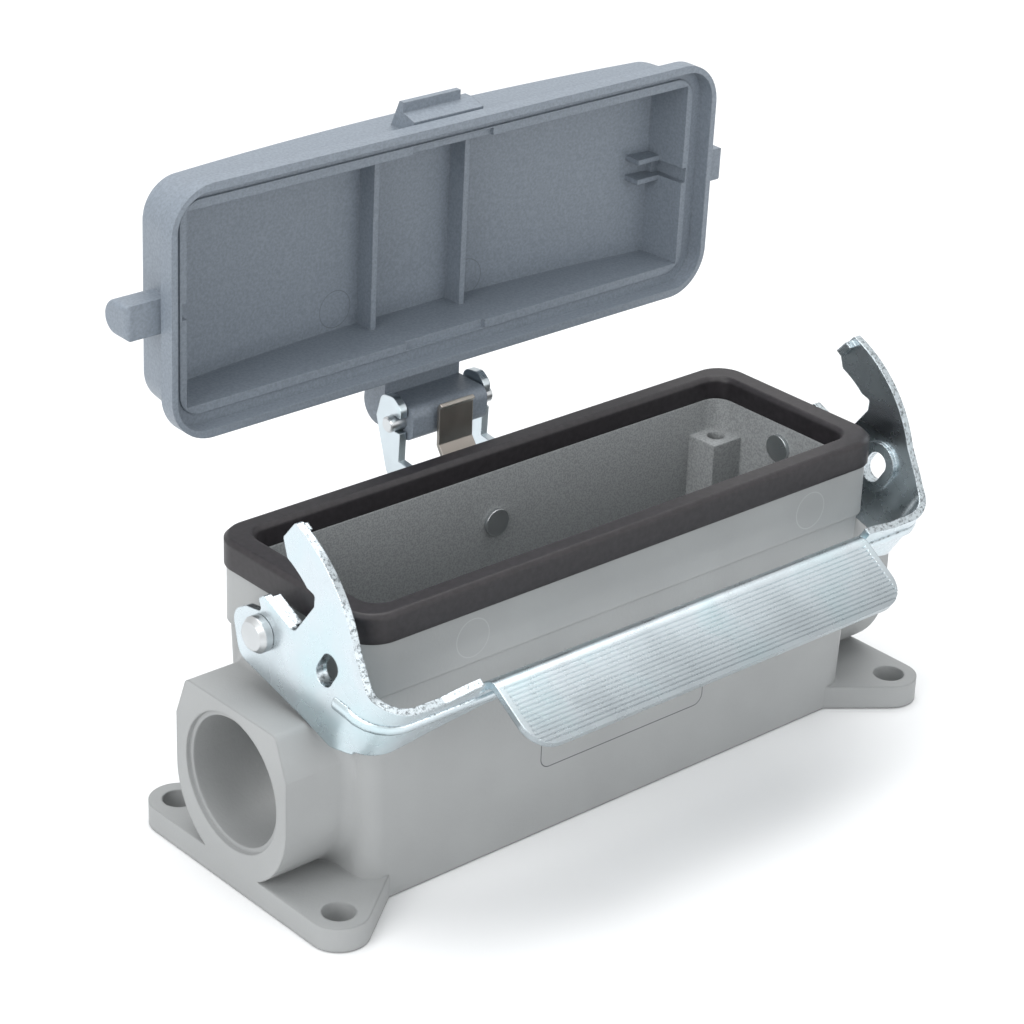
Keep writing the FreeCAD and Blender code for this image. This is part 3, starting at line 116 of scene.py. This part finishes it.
class ConnectorColours(bpy.types.PropertyGroup):
    """Colours of the connector's finishes"""
    casting: colour("Casting", "Light grey powder coat of the housing", (0.335, 0.342, 0.342))
    casting_inside: colour("Casting inside", "Speckled grey inside the housing", (0.3, 0.311, 0.315))
    engraving_shadow: colour("Engraving", "Shadow in the outline on the front wall", (0.07, 0.075, 0.08))
    cover: colour("Cover", "Blue-grey moulded plastic", (0.195, 0.225, 0.262))
    gasket: colour("Gasket", "Near-black rubber", (0.0115, 0.0095, 0.0115))
    zinc: colour("Zinc", "Bright zinc plating of the lever", (0.6, 0.665, 0.7))
    rivet: colour("Rivet", "Plating of rivets and pins", (0.58, 0.6, 0.61))
    spring: colour("Spring", "Plain stainless strip", (0.36, 0.33, 0.3))
    floor: colour("Floor", "Pale studio floor", (0.9, 0.9, 0.9))


class ConnectorSizes(bpy.types.PropertyGroup):
    """Sizes of the connector's surface detail"""
    peel: length("Orange peel", "Distance between bumps of the powder coat", 0.7 * MM)
    grain: length("Plastic grain", "Distance between grains of the moulded cover", 0.5 * MM)
    edge: length("Edge softness", "Radius at which sharp edges catch the light", 0.3 * MM)
    panel_half: length("Panel half length", "Half length of the outline on the front wall", 19.3 * MM)
    panel_low: length("Panel bottom", "Height of the outline's lower edge", 12.8 * MM)
    panel_high: length("Panel top", "Height of the outline's upper edge", 29.0 * MM)
    panel_corner: length("Panel corner", "Corner radius of the outline", 2.0 * MM)
    mark_radius: length("Ejector mark radius", "Radius of the round ejector marks", 3.5 * MM)
    mark_line: length("Mark line", "Half width of outlines and ejector marks", 0.09 * MM)
    bead_half_high: length("Bead half height", "Half height of the stiffening bead", 1.2 * MM)
    bead_half_deep: length("Bead half depth", "How far the bead stands out of the lever", 0.6 * MM)
    arm_face: length("Arm face", "Distance of the lever's outer face from the middle", 64.7 * MM)
    web_face: length("Web face", "Distance of the web's face from the pivots", 28.7 * MM)
    bend: length("Bend radius", "Outer radius of the lever's corner bends", 7.4 * MM)


def settings():
    return bpy.context.scene.connector_colours, bpy.context.scene.connector_sizes


def add(owner, kind, **values):
    """New node; each value sets the node's property of that name, or else its input."""
    node = owner.node_tree.nodes.new("ShaderNode" + kind)
    for key, value in values.items():
        if hasattr(node, key):
            setattr(node, key, value)
        else:
            node.inputs[key.replace("_", " ")].default_value = value
    return node


def join(owner, out, into):
    owner.node_tree.links.new(out, into)


def new_material(name):
    """Node material that holds only its shader and output."""
    material = bpy.data.materials.new(name)
    material.use_nodes = True
    material.node_tree.nodes.clear()
    shader = add(material, "BsdfPrincipled")
    join(material, shader.outputs["BSDF"], add(material, "OutputMaterial").inputs["Surface"])
    return material, shader


def place(material):
    """Object coordinates in metres."""
    return add(material, "TexCoord").outputs["Object"]


def object_normal(material):
    """Surface normal in the piece's own frame."""
    turned = add(material, "VectorTransform", vector_type="NORMAL", convert_from="WORLD", convert_to="OBJECT")
    join(material, add(material, "NewGeometry").outputs["Normal"], turned.inputs["Vector"])
    return turned.outputs["Vector"]


def split(material, vector):
    """The X, Y and Z outputs of a vector."""
    node = add(material, "SeparateXYZ")
    join(material, vector, node.inputs["Vector"])
    return tuple(node.outputs)


def closed_lever(material, vector, lift=0.0):
    """A point or normal of the open lever as it is on the closed one, about its pivots."""
    node = add(material, "Mapping", vector_type="TEXTURE", Location=(0.0, 0.0, lift),
               Rotation=(OPEN_ANGLE, 0.0, 0.0))
    join(material, vector, node.inputs["Vector"])
    return split(material, node.outputs["Vector"])


def noise(material, scale, detail=3.0, rough=0.5, stretch=None):
    """Noise with so many cells to the metre, stretched by a factor for each axis."""
    node = add(material, "TexNoise", Scale=scale, Detail=detail, Roughness=rough)
    vector = place(material)
    if stretch:
        mapping = add(material, "Mapping", Scale=stretch)
        join(material, vector, mapping.inputs["Vector"])
        vector = mapping.outputs["Vector"]
    join(material, vector, node.inputs["Vector"])
    return node.outputs["Fac"]


def math_node(owner, operation, first, second=0.0):
    node = add(owner, "Math", operation=operation)
    for socket, value in zip(node.inputs, (first, second)):
        if isinstance(value, (int, float)):
            socket.default_value = value
        else:
            join(owner, value, socket)
    return node.outputs["Value"]


def plus(material, first, second):
    return math_node(material, "ADD", first, second)


def minus(material, first, second):
    return math_node(material, "SUBTRACT", first, second)


def size_of(material, value):
    return math_node(material, "ABSOLUTE", value)


def under(material, first, second):
    """One where the first value is the smaller, nought elsewhere."""
    return math_node(material, "LESS_THAN", first, second)


def over(material, first, second):
    """One where the first value is the larger, nought elsewhere."""
    return math_node(material, "GREATER_THAN", first, second)


def both(material, first, second):
    """One where both masks are one."""
    return math_node(material, "MULTIPLY", first, second)


def distance(material, side, rise):
    """Distance from nought of a point given by its two coordinates in a plane."""
    square = plus(material, math_node(material, "MULTIPLY", side, side),
                  math_node(material, "MULTIPLY", rise, rise))
    return math_node(material, "SQRT", square)


def tinted(base, factor):
    return tuple(min(1.0, channel * factor) for channel in base)


def ramp(material, value, stops):
    """Colour that follows a value through (position, colour) stops."""
    node = add(material, "ValToRGB")
    while len(node.color_ramp.elements) < len(stops):
        node.color_ramp.elements.new(0.5)
    for element, (position, shade) in zip(node.color_ramp.elements, stops):
        element.position = position
        element.color = (*shade, 1.0)
    join(material, value, node.inputs["Fac"])
    return node.outputs["Color"]


def tints(material, value, base, *stops):
    """Tints of one colour that follow a value through (position, factor) stops."""
    return ramp(material, value, [(position, tinted(base, factor)) for position, factor in stops])


def blend(material, mask, first, second):
    """Second colour where the mask is one, first colour where it is nought."""
    mix = add(material, "Mix", data_type="RGBA")
    for socket, value in ((mix.inputs[0], mask), (mix.inputs[6], first), (mix.inputs[7], second)):
        if isinstance(value, tuple):
            socket.default_value = (*value, 1.0)
        else:
            join(material, value, socket)
    return mix.outputs[2]


def ring_line(material, x, z, centre, sizes):
    """Thin circle of an ejector mark about a centre."""
    reach = distance(material, minus(material, x, centre[0]), minus(material, z, centre[1]))
    gap = size_of(material, minus(material, reach, sizes.mark_radius))
    return under(material, gap, sizes.mark_line)


def panel_line(material, x, z, sizes):
    """Thin rounded outline on the front wall, from the distance to a rounded rectangle."""
    corner = sizes.panel_corner
    middle = (sizes.panel_low + sizes.panel_high) / 2.0
    half_high = (sizes.panel_high - sizes.panel_low) / 2.0
    side = minus(material, size_of(material, x), sizes.panel_half - corner)
    rise = minus(material, size_of(material, minus(material, z, middle)), half_high - corner)
    outside = distance(material, math_node(material, "MAXIMUM", side), math_node(material, "MAXIMUM", rise))
    inside = math_node(material, "MINIMUM", math_node(material, "MAXIMUM", side, rise))
    gap = minus(material, plus(material, outside, inside), corner)
    return under(material, size_of(material, gap), sizes.mark_line)


def cavity_mask(material, x, y, z):
    """One inside the housing's cavity, which lies within the gasket's outline."""
    half_x, half_y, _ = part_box("rim_gasket")[1]
    in_x = under(material, size_of(material, x), half_x - CAVITY_INSET[0])
    in_y = under(material, size_of(material, y), half_y - CAVITY_INSET[1])
    return both(material, both(material, in_x, in_y), over(material, z, CAVITY_FLOOR))


def soft_edges(material, shader, height, strength, depth, radius):
    """Bump over normals that are rounded at the piece's sharp edges."""
    bevel = add(material, "Bevel", samples=4, Radius=radius)
    bump = add(material, "Bump", Strength=strength, Distance=depth)
    join(material, height, bump.inputs["Height"])
    join(material, bevel.outputs["Normal"], bump.inputs["Normal"])
    join(material, bump.outputs["Normal"], shader.inputs["Normal"])


def surface(shader, roughness, gloss):
    """Even roughness and gloss of a surface that isn't metal."""
    shader.inputs["Roughness"].default_value = roughness
    shader.inputs["Specular IOR Level"].default_value = gloss


def casting_material():
    """Powder coat: fine orange peel, speckle inside the cavity, painted shadow in the engraved outline, and
    ejector marks drawn as rings of painted highlight.
    """
    colours, sizes = settings()
    material, shader = new_material("casting_powder_coat")
    coat = tuple(colours.casting)
    x, y, z = split(material, place(material))
    tone = tints(material, noise(material, 60.0, detail=2.0), coat, (0.3, 0.95), (0.7, 1.04))
    speck = noise(material, 1.0 / sizes.peel * 2.2, detail=2.0)
    inside = tints(material, speck, tuple(colours.casting_inside), (0.38, 0.82), (0.62, 1.16))
    tone = blend(material, cavity_mask(material, x, y, z), tone, inside)
    front = under(material, y, FRONT_WALL)
    outline = both(material, panel_line(material, x, z, sizes), front)
    # Painted shadow: the engraved outline is drawn as a near-black line, standing in for the shade in its
    # groove.
    tone = blend(material, outline, tone, tuple(colours.engraving_shadow))
    for centre in COLLAR_MARKS:
        mark = both(material, ring_line(material, x, z, centre, sizes), front)
        # Painted highlight: each ejector mark's ring is drawn a fifth lighter than the coat, standing in for
        # light on its rim.
        tone = blend(material, mark, tone, tinted(coat, 1.2))
    join(material, tone, shader.inputs["Base Color"])
    surface(shader, roughness=0.5, gloss=0.45)
    peel = noise(material, 1.0 / sizes.peel, detail=2.0, rough=0.55)
    soft_edges(material, shader, peel, strength=0.35, depth=0.12 * MM, radius=sizes.edge * 2.0)
    return material


def cover_material():
    """Moulded blue-grey plastic with a fine spark-eroded grain and ejector marks inside, drawn as rings of
    painted shade.
    """
    colours, sizes = settings()
    material, shader = new_material("cover_plastic")
    plastic = tuple(colours.cover)
    x, y, z = split(material, place(material))
    fine = noise(material, 1.0 / sizes.grain, rough=0.6)
    tone = tints(material, fine, plastic, (0.35, 0.88), (0.65, 1.12))
    faces_front = under(material, split(material, object_normal(material))[1], TO_FRONT)
    inside = both(material, over(material, y, COVER_INSIDE), faces_front)
    for centre in COVER_MARKS:
        mark = both(material, ring_line(material, x, z, centre, sizes), inside)
        # Painted shade: each ejector mark's ring inside the cover is drawn darker than the plastic, standing
        # in for shade in its groove.
        tone = blend(material, mark, tone, tinted(plastic, 0.72))
    join(material, tone, shader.inputs["Base Color"])
    surface(shader, roughness=0.48, gloss=0.5)
    soft_edges(material, shader, fine, strength=0.22, depth=0.06 * MM, radius=sizes.edge)
    return material


def gasket_material():
    """Matt rubber with a faint dusty bloom."""
    colours, sizes = settings()
    material, shader = new_material("gasket_rubber")
    bloom = noise(material, 900.0, detail=4.0)
    tone = tints(material, bloom, tuple(colours.gasket), (0.35, 0.8), (0.75, 1.7))
    join(material, tone, shader.inputs["Base Color"])
    surface(shader, roughness=0.46, gloss=0.5)
    skin = noise(material, 1400.0)
    soft_edges(material, shader, skin, strength=0.2, depth=0.05 * MM, radius=sizes.edge * 2.5)
    return material


def plated_material(name, base, roughness, streak, shade_and_wear=None):
    """Plated steel with a cloudy tone and rolling streaks; a function given last, if any, changes its tone by
    place, such as the lever's painted shade on its grip and dark cut edges.
    """
    sizes = settings()[1]
    material, shader = new_material(name)
    blue_cast = (base[0] * 0.9, base[1], base[2])
    tone = ramp(material, noise(material, 70.0), [(0.3, tinted(base, 0.86)), (0.52, base), (0.75, blue_cast)])
    if shade_and_wear:
        tone = shade_and_wear(material, tone, base, sizes)
    join(material, tone, shader.inputs["Base Color"])
    shader.inputs["Metallic"].default_value = 1.0
    rough = add(material, "MapRange", To_Min=roughness * 0.75, To_Max=roughness * 1.35)
    join(material, noise(material, 240.0, detail=4.0), rough.inputs["Value"])
    join(material, rough.outputs["Result"], shader.inputs["Roughness"])
    rolled = noise(material, 260.0, stretch=(1.0, 14.0, 14.0))
    soft_edges(material, shader, rolled, strength=streak, depth=0.02 * MM, radius=sizes.edge)
    return material


def lever_grip_shade_and_edges(material, tone, base, sizes):
    """Painted shade over the grip, darker towards its free edge, and dark speckled cut edges."""
    x, y, _ = closed_lever(material, place(material), PIVOT_HEIGHT)
    beside = size_of(material, x)
    lean_x, _, lean_z = closed_lever(material, object_normal(material))
    grip = add(material, "MapRange", From_Min=-sizes.web_face - GRIP_START,
               From_Max=-sizes.web_face - GRIP_END, To_Max=0.62)
    join(material, y, grip.inputs["Value"])
    # Painted shade: the grip is blended towards a dark tint of the plating the nearer it lies to its free
    # edge.
    tone = blend(material, grip.outputs["Result"], tone, tinted(base, 0.42))
    in_arm = over(material, beside, sizes.arm_face - LEVER_SHEET - SHEET_SLACK)
    arm_edge = both(material, in_arm, under(material, size_of(material, lean_x), EDGE_ON))
    beside_flap = over(material, beside, FLAP_SIDE)
    web_edge = both(material, over(material, size_of(material, lean_z), LEVEL), beside_flap)
    burr = tints(material, noise(material, 1500.0, rough=0.7), base, (0.36, 0.3), (0.52, 0.9))
    return blend(material, math_node(material, "MAXIMUM", arm_edge, web_edge), tone, burr)


def dress(node, material):
    """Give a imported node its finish."""
    mesh = frame["nodes"][node].data
    mesh.materials.clear()
    mesh.materials.append(material)


def bead_path():
    """Middle line of the bead on the closed lever: arm, bend and web, then the same mirrored."""
    sizes = settings()[1]
    bend_x = sizes.bend - sizes.arm_face
    bend_y = sizes.bend - sizes.web_face
    half = [(-sizes.arm_face, *BEAD_END), (-sizes.arm_face, bend_y, BEAD_LOW)]
    for step in range(1, BEAD_STEPS + 1):
        share = step / BEAD_STEPS
        turn = math.pi + math.pi / 2.0 * share
        half.append((bend_x + sizes.bend * math.cos(turn), bend_y + sizes.bend * math.sin(turn),
                     BEAD_LOW + (BEAD_HIGH - BEAD_LOW) * share))
    return half + [(-x, y, z) for x, y, z in reversed(half)]


def build_oval():
    """Cross-section of the bead."""
    sizes = settings()[1]
    bpy.ops.object.select_all(action="DESELECT")
    bpy.ops.curve.primitive_bezier_circle_add(radius=1.0)
    oval = bpy.context.active_object
    oval.data.resolution_u = OVAL_STEPS
    oval.scale = (sizes.bead_half_deep, sizes.bead_half_high, 1.0)
    bpy.ops.object.transform_apply(location=False, rotation=False, scale=True)
    return oval


def build_bead():
    """Stiffening bead: an oval bar swept from arm to arm round the lever's bends and along its web."""
    oval = build_oval()
    path = bead_path()
    bpy.ops.object.select_all(action="DESELECT")
    bpy.ops.curve.primitive_nurbs_path_add()
    bead = bpy.context.active_object
    bead.name = "lever_bead"
    bead.data.splines.clear()
    spline = bead.data.splines.new("POLY")
    spline.points.add(len(path) - 1)
    for point, spot in zip(spline.points, path):
        point.co = (*spot, 1.0)
    bead.data.twist_mode = "Z_UP"
    bead.data.bevel_mode = "OBJECT"
    bead.data.bevel_object = oval
    bead.data.use_fill_caps = True
    bpy.ops.object.convert(target="MESH")
    bead = bpy.context.active_object
    bead.location = (0.0, 0.0, PIVOT_HEIGHT)
    bead.rotation_euler = (OPEN_ANGLE, 0.0, 0.0)
    bpy.ops.object.transform_apply(location=True, rotation=True, scale=True)
    bpy.ops.object.mode_set(mode="EDIT")
    bpy.ops.mesh.select_all(action="SELECT")
    bpy.ops.mesh.remove_doubles(threshold=WELD)
    bpy.ops.mesh.normals_make_consistent(inside=False)
    bpy.ops.object.mode_set(mode="OBJECT")
    bpy.ops.object.shade_smooth_by_angle(angle=SMOOTH_ANGLE)
    bpy.data.objects.remove(oval, do_unlink=True)
    return bead


class FinishHousing(bpy.types.Operator):
    """Powder coat on the cast housing"""
    bl_idname = "connector.finish_housing"
    bl_label = "Finish housing"

    def execute(self, context):
        dress("housing", casting_material())
        return {"FINISHED"}


class FinishGasket(bpy.types.Operator):
    """Rubber of the rim gasket"""
    bl_idname = "connector.finish_gasket"
    bl_label = "Finish gasket"

    def execute(self, context):
        dress("rim_gasket", gasket_material())
        return {"FINISHED"}


class FinishLever(bpy.types.Operator):
    """Zinc plating of the locking lever"""
    bl_idname = "connector.finish_lever"
    bl_label = "Finish lever"

    def execute(self, context):
        zinc = tuple(settings()[0].zinc)
        plating = plated_material("lever_zinc", zinc, roughness=0.26, streak=0.2, shade_and_wear=lever_grip_shade_and_edges)
        dress("locking_lever", plating)
        return {"FINISHED"}


class BuildBead(bpy.types.Operator):
    """Stiffening bead of the locking lever, in the lever's own finish"""
    bl_idname = "connector.build_bead"
    bl_label = "Build bead"

    def execute(self, context):
        bead = build_bead()
        bead.data.materials.append(frame["nodes"]["locking_lever"].data.materials[0])
        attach(bead, "lever")
        return {"FINISHED"}


class FinishFasteners(bpy.types.Operator):
    """Plating of rivets, pin, bracket and spring"""
    bl_idname = "connector.finish_fasteners"
    bl_label = "Finish fasteners"

    def execute(self, context):
        colours = settings()[0]
        bright = plated_material("rivet_plating", tuple(colours.rivet), roughness=0.3, streak=0.2)
        for node in ("lever_pivot_left", "lever_pivot_right", "hinge_pin", "bracket_rivet"):
            dress(node, bright)
        zinc = plated_material("bracket_zinc", tuple(colours.zinc), roughness=0.28, streak=0.25)
        dress("hinge_bracket", zinc)
        strip = plated_material("spring_strip", tuple(colours.spring), roughness=0.34, streak=0.5)
        dress("hinge_spring", strip)
        return {"FINISHED"}


class FinishCover(bpy.types.Operator):
    """Moulded plastic of the hinged cover"""
    bl_idname = "connector.finish_cover"
    bl_label = "Finish cover"

    def execute(self, context):
        dress("cover", cover_material())
        return {"FINISHED"}


class BuildStage(bpy.types.Operator):
    """Floor, soft lights, world and camera"""
    bl_idname = "connector.build_stage"
    bl_label = "Build stage"

    def execute(self, context):
        build_floor()
        build_world()
        build_lights()
        build_camera()
        return {"FINISHED"}


def build_floor():
    """Pale floor that keeps the object's shadow."""
    bpy.ops.object.select_all(action="DESELECT")
    bpy.ops.mesh.primitive_plane_add(size=FLOOR_SIZE, location=(0.0, 0.0, -FLOOR_DROP))
    floor = bpy.context.active_object
    floor.name = "studio_floor"
    material, shader = new_material("studio_floor")
    tone = tints(material, noise(material, 3.0), tuple(settings()[0].floor), (0.3, 0.99), (0.7, 1.01))
    join(material, tone, shader.inputs["Base Color"])
    surface(shader, roughness=0.9, gloss=0.1)
    floor.data.materials.append(material)


def build_world():
    """White to the camera and in reflections, dimmer and slightly cool as a light."""
    world = bpy.data.worlds.new("studio")
    bpy.context.scene.world = world
    world.use_nodes = True
    world.node_tree.nodes.clear()
    ray = add(world, "LightPath").outputs
    seen = math_node(world, "MAXIMUM", ray["Is Camera Ray"], ray["Is Transmission Ray"])
    seen = math_node(world, "MAXIMUM", seen, ray["Is Glossy Ray"])
    sky = add(world, "Background", Color=(*SKY_LIGHT, 1.0), Strength=SKY_STRENGTH)
    backdrop = add(world, "Background", Color=(*WHITE, 1.0), Strength=1.0)
    mix = add(world, "MixShader")
    join(world, seen, mix.inputs[0])
    join(world, sky.outputs["Background"], mix.inputs[1])
    join(world, backdrop.outputs["Background"], mix.inputs[2])
    join(world, mix.outputs["Shader"], add(world, "OutputWorld").inputs["Surface"])


def build_lights():
    for name, (spot, size, power) in LAMPS.items():
        data = bpy.data.lights.new(name, "AREA")
        data.shape = "RECTANGLE"
        data.size, data.size_y = size
        data.energy = power
        lamp = bpy.data.objects.new(name, data)
        bpy.context.scene.collection.objects.link(lamp)
        lamp.location = spot
        lamp.rotation_euler = (Vector(LAMP_AIM) - Vector(spot)).to_track_quat("-Z", "Y").to_euler()


def build_camera():
    """Camera at the photograph's place, turn and angle of view."""
    data = bpy.data.cameras.new("photo_camera")
    data.sensor_width = 36.0
    data.lens = CAMERA_LENS
    data.clip_start = 0.01
    data.clip_end = 20.0
    camera = bpy.data.objects.new("photo_camera", data)
    bpy.context.scene.collection.objects.link(camera)
    flat = math.cos(CAMERA_DIP)
    away = Vector((math.sin(CAMERA_TURN) * flat, math.cos(CAMERA_TURN) * flat, -math.sin(CAMERA_DIP)))
    right = Vector((math.cos(CAMERA_TURN), -math.sin(CAMERA_TURN), 0.0))
    down = -right.cross(away)
    across = right * math.cos(CAMERA_ROLL) - down * math.sin(CAMERA_ROLL)
    below = right * math.sin(CAMERA_ROLL) + down * math.cos(CAMERA_ROLL)
    matrix = Matrix((across, -below, -away)).transposed().to_4x4()
    matrix.translation = Vector(CAMERA_AT)
    camera.matrix_world = matrix
    bpy.context.scene.camera = camera


class ConnectorPanel(bpy.types.Panel):
    """Sidebar panel with the connector's sizes, colours and steps"""
    bl_idname = "VIEW3D_PT_connector"
    bl_label = "Connector"
    bl_space_type = "VIEW_3D"
    bl_region_type = "UI"
    bl_category = "Connector"

    def draw(self, context):
        layout = self.layout
        for group in (context.scene.connector_colours, context.scene.connector_sizes):
            for key in group.bl_rna.properties.keys():
                if key not in ("rna_type", "name"):
                    layout.prop(group, key)
        for step in STEPS:
            layout.operator(step.bl_idname)


STEPS = (FinishHousing, FinishGasket, FinishLever, BuildBead, FinishFasteners, FinishCover, BuildStage)
CLASSES = (ConnectorColours, ConnectorSizes, *STEPS, ConnectorPanel)


def register():
    for item in CLASSES:
        bpy.utils.register_class(item)
    bpy.types.Scene.connector_colours = bpy.props.PointerProperty(type=ConnectorColours)
    bpy.types.Scene.connector_sizes = bpy.props.PointerProperty(type=ConnectorSizes)


def unregister():
    del bpy.types.Scene.connector_sizes
    del bpy.types.Scene.connector_colours
    for item in reversed(CLASSES):
        bpy.utils.unregister_class(item)


def main():
    register()
    bpy.context.scene.view_settings.view_transform = "Standard"
    bpy.ops.connector.finish_housing()
    bpy.ops.connector.finish_gasket()
    bpy.ops.connector.finish_lever()
    bpy.ops.connector.build_bead()
    bpy.ops.connector.finish_fasteners()
    bpy.ops.connector.finish_cover()
    bpy.ops.connector.build_stage()


if __name__ == "__main__":
    main()
